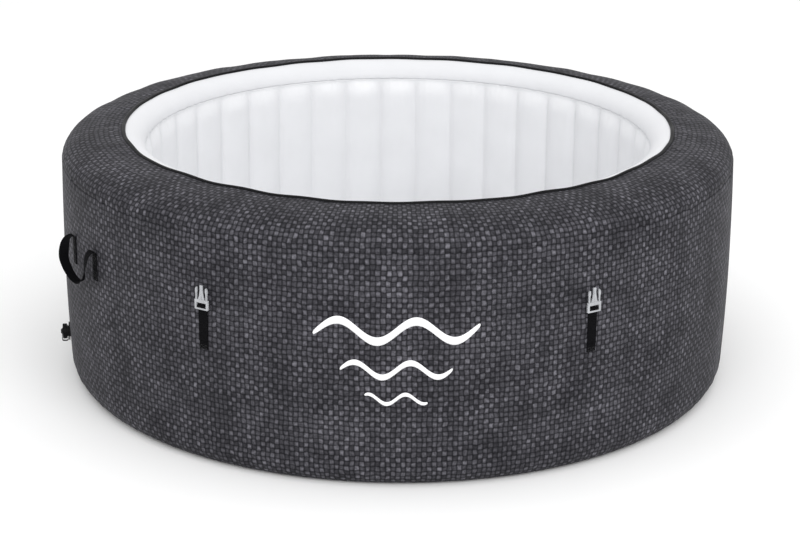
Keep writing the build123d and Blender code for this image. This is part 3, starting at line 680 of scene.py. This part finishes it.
strap_path = strap_line()
for place in ("front_left", "front_right", "right", "back_right", "back_left", "left"):
    hinge = joints[f"strap_{place}_fold"]
    pivot = Vector(hinge["pos_m"])
    azimuth = math.atan2(pivot.x, -pivot.y)
    local = np.hstack([np.zeros((len(strap_path), 1)), strap_path])
    side = np.repeat(np.array([[math.cos(azimuth), math.sin(azimuth), 0]]), len(local), 0)
    strap = ribbon(f"strap_webbing_{place}", on_wall(azimuth, STRAP_FOOT, local), side, webbing)
    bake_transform(strap)
    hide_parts(f"strap_{place}")
    box = stitched_box((-0.009, -0.012), (0.009, -0.003))
    sewing = stitches(f"strap_stitches_{place}", azimuth, STRAP_FOOT, [box], STITCHED_FACE, thread_black)
    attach(sewing, "tub")

# ---------------------------------------------------------------- carry handles
# The same webbing. Two tails are sewn upright on the wall; the band folds over at their tops and hangs between them
# in a loop that turns edge-on to the wall at its lowest point.

HANDLE_TOP, TAIL_OUT = 0.456, 0.0013
HANDLE_REACH = WALL_RADIUS * math.sin(math.radians(4.7))
# Each row is one point of the middle line: along as a share of the reach, up and out in metres, and the angle in
# degrees that the band's width has turned by from flat on the wall. 90 is edge-on to it.
HANDLE_LINE = (
    (-1.00, -0.078, TAIL_OUT, 0),
    (-1.00, -0.045, TAIL_OUT, 0),
    (-1.00, -0.012, TAIL_OUT, 0),
    (-1.00, -0.003, 0.0042, 0),
    (-1.00, -0.002, 0.0110, 4),
    (-1.01, -0.010, 0.0200, 25),
    (-1.02, -0.030, 0.0275, 62),
    (-0.98, -0.057, 0.0310, 84),
    (-0.70, -0.080, 0.0285, 94),
    (-0.28, -0.094, 0.0255, 104),
    (0.15, -0.097, 0.0235, 116),
    (0.52, -0.086, 0.0240, 132),
    (0.80, -0.062, 0.0265, 150),
    (0.94, -0.034, 0.0270, 166),
    (0.98, -0.012, 0.0220, 176),
    (1.00, -0.001, 0.0130, 180),
    (1.00, -0.002, 0.0046, 180),
    (1.00, -0.014, TAIL_OUT, 180),
    (1.00, -0.045, TAIL_OUT, 180),
    (1.00, -0.078, TAIL_OUT, 180),
)


def handle_line():
    """The whole middle line and the band's width direction at each point, as (along, up, out). The width is the
    sine of its turn out from the wall, less the cosine along it."""
    points = smooth_line(np.array(HANDLE_LINE) * (HANDLE_REACH, 1, 1, 1), 150)
    turned = np.radians(points[:, 3])
    return points[:, :3], np.stack([-np.cos(turned), np.zeros(len(points)), np.sin(turned)], -1)


handle_points, handle_side = handle_line()
for place in ("left", "right"):
    hinge = joints[f"handle_{place}_swing"]
    pivot = Vector(hinge["pos_m"])
    azimuth = math.atan2(pivot.x, -pivot.y)
    line = on_wall(azimuth, HANDLE_TOP, handle_points)
    turn = azimuth + handle_points[:, 0] / WALL_RADIUS
    along = np.stack([np.cos(turn), np.sin(turn), 0 * turn], -1)
    away = np.stack([np.sin(turn), -np.cos(turn), 0 * turn], -1)
    side = along * handle_side[:, :1] + away * handle_side[:, 2:]
    loop = ribbon(f"handle_webbing_{place}", line, side, webbing)
    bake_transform(loop)
    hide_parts(f"handle_{place}", "webbing_tabs")
    boxes = []
    for way in (-1, 1):
        tail = way * HANDLE_REACH
        boxes.append(stitched_box((tail - 0.009, -0.074), (tail + 0.009, -0.054)))
        boxes.append(stitched_box((tail - 0.009, -0.036), (tail + 0.009, -0.016)))
    sewing = stitches(f"handle_stitches_{place}", azimuth, HANDLE_TOP, boxes, STITCHED_FACE, thread_black)
    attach(sewing, "tub")

# ---------------------------------------------------------------- cap tethers
# Each screw cap hangs on a soft strap: one ring lies loose round the neck, one round the cap's knob, and a band below
# joins them.

soft_black = grained("soft_black", (0.014, 0.014, 0.015), 0.5, 900, 0.0001, Specular_IOR_Level=0.25)
RING_WIDTH, BAND_WIDTH, BAND_BEND = 0.0026, 0.008, 0.003
# Each row: radius of the neck and of the knob, how far out each ring lies, the band's drop, and the thickness.
TETHERS = {
    "drain": (0.0144, 0.0064, 0.9019, 0.9173, 0.0265, 0.0020),
    "valve": (0.0194, 0.0064, 0.9044, 0.9228, 0.0287, 0.0014),
}


def at_port(azimuth, height, local):
    """Points (along, up, out) from the tub's axis at this azimuth and height, as (x, y, z)."""
    x = local[..., 0] * math.cos(azimuth) + local[..., 2] * math.sin(azimuth)
    y = local[..., 0] * math.sin(azimuth) - local[..., 2] * math.cos(azimuth)
    return np.stack([x, y, height + local[..., 1]], -1)


def flat_ring(name, inner, out, thickness, azimuth, height, finish, columns=64, sides=12):
    """A flat washer with rounded edges round a port's axis: its section is a superellipse, RING_WIDTH wide."""
    turn = np.linspace(0, 2 * math.pi, sides, endpoint=False)[:, None]
    r = inner + RING_WIDTH / 2 * (1 + np.sign(np.cos(turn)) * np.abs(np.cos(turn)) ** 0.6)
    z = out - thickness / 2 * np.sign(np.sin(turn)) * np.abs(np.sin(turn)) ** 0.6
    around_axis = np.linspace(0, 2 * math.pi, columns, endpoint=False)[None, :]
    local = np.stack([r * np.cos(around_axis), r * np.sin(around_axis), z + 0 * around_axis], -1)
    i, j = np.meshgrid(np.arange(sides), np.arange(columns), indexing="ij")
    up, right = (i + 1) % sides, (j + 1) % columns
    faces = np.stack([i, i, up, up], -1) * columns + np.stack([j, right, right, j], -1)
    return mesh_piece(name, at_port(azimuth, height, local), faces.reshape(-1, 4).tolist(), finish)


for port, (neck, knob, near, far, drop, thickness) in TETHERS.items():
    outwards = Vector(joints[f"{port}_cap_travel"]["axis"]).normalized()
    azimuth = math.atan2(outwards.x, -outwards.y)
    cap_low, cap_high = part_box(f"{port}_cap")
    height = (cap_low.z + cap_high.z) / 2
    neck_ring = flat_ring(f"{port}_tether_neck_ring", neck, near, thickness, azimuth, height, soft_black)
    knob_ring = flat_ring(f"{port}_tether_knob_ring", knob, far, thickness, azimuth, height, soft_black)
    corners = [(-neck - RING_WIDTH / 2, near), (BAND_BEND - drop, near), (-drop, near + BAND_BEND)]
    corners += [(-drop, far - BAND_BEND), (BAND_BEND - drop, far), (-knob - RING_WIDTH / 2, far)]
    path = smooth_line(np.array([(0, up, out) for up, out in corners]), 40)
    side = np.repeat([[math.cos(azimuth), math.sin(azimuth), 0.0]], len(path), 0)
    line = at_port(azimuth, height, path)
    band = ribbon(f"{port}_tether_band", line, side, soft_black, width=BAND_WIDTH, thickness=thickness)
    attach(neck_ring, "tub")
    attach(knob_ring, f"{port}_cap_seat")
    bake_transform(band)
    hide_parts(f"{port}_cap_tether")

# ---------------------------------------------------------------- valve spring
# A small coil of steel wire under the head of the valve's stem.

COIL_RADIUS, COIL_WIRE, COIL_TURNS = 0.0042, 0.001, 5
COIL_LOW, COIL_HIGH, STEM_STROKE = 0.8899, 0.9030, 0.006

spring_steel = grained("spring_steel", (0.55, 0.55, 0.56), 0.28, 3000, 0.00005, Metallic=1.0)
inwards = Vector(joints["valve_stem_press"]["axis"]).normalized()
azimuth = math.atan2(-inwards.x, inwards.y)
turn = np.linspace(0, 2 * math.pi * COIL_TURNS, 160)
reach = np.linspace(COIL_LOW, COIL_HIGH, len(turn))
line = at_port(azimuth, height, np.stack([COIL_RADIUS * np.cos(turn), COIL_RADIUS * np.sin(turn), reach], -1))
side = at_port(azimuth, 0, np.stack([np.cos(turn), np.sin(turn), 0 * turn], -1))
coil = ribbon("valve_coil", line, side, spring_steel, width=COIL_WIRE, thickness=COIL_WIRE, sides=10)
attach(coil, "tub")
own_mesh(coil)
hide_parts("valve_spring")

# ---------------------------------------------------------------- frame parts with their own finish
# Moulded ports, fittings, caps and buckles keep their frame shapes. Each material is what that part is made of.

finishes = {
    "liner_white": liner_white,
    "black_piping": piping_black,
    "woven_print": wall_print,
    "web_white": grained("web_white", (0.80, 0.80, 0.80), 0.6, 700, 0.0002),
    "base_grey": grained("base_grey", (0.075, 0.076, 0.080), 0.55, 300, 0.0003),
    "buckle_grey": grained("buckle_grey", (0.41, 0.42, 0.44), 0.38, 1400, 0.00008, shade=0.8),
    "black_plastic": grained("black_plastic", (0.006, 0.006, 0.007), 0.4, 1200, 0.0001, Specular_IOR_Level=0.12),
    "soft_black": soft_black,
    "seal_rubber": grained("seal_rubber", (0.022, 0.022, 0.022), 0.62, 1500, 0.0001),
    "port_grey": grained("port_grey", (0.36, 0.37, 0.39), 0.4, 900, 0.00012, shade=0.9),
    "hose_grey": grained("hose_grey", (0.30, 0.31, 0.33), 0.5, 600, 0.0002),
    "filter_paper": grained("filter_paper", (0.86, 0.87, 0.86), 0.85, 2500, 0.0004),
    "spring_steel": spring_steel,
    "webbing": webbing,
}
slot_of = {entry["node"]: entry["material_slot"] for entry in frame["record"]["subparts"]}
for name, part in frame["nodes"].items():
    for slot in part.material_slots:
        slot.material = finishes[slot_of[name]]
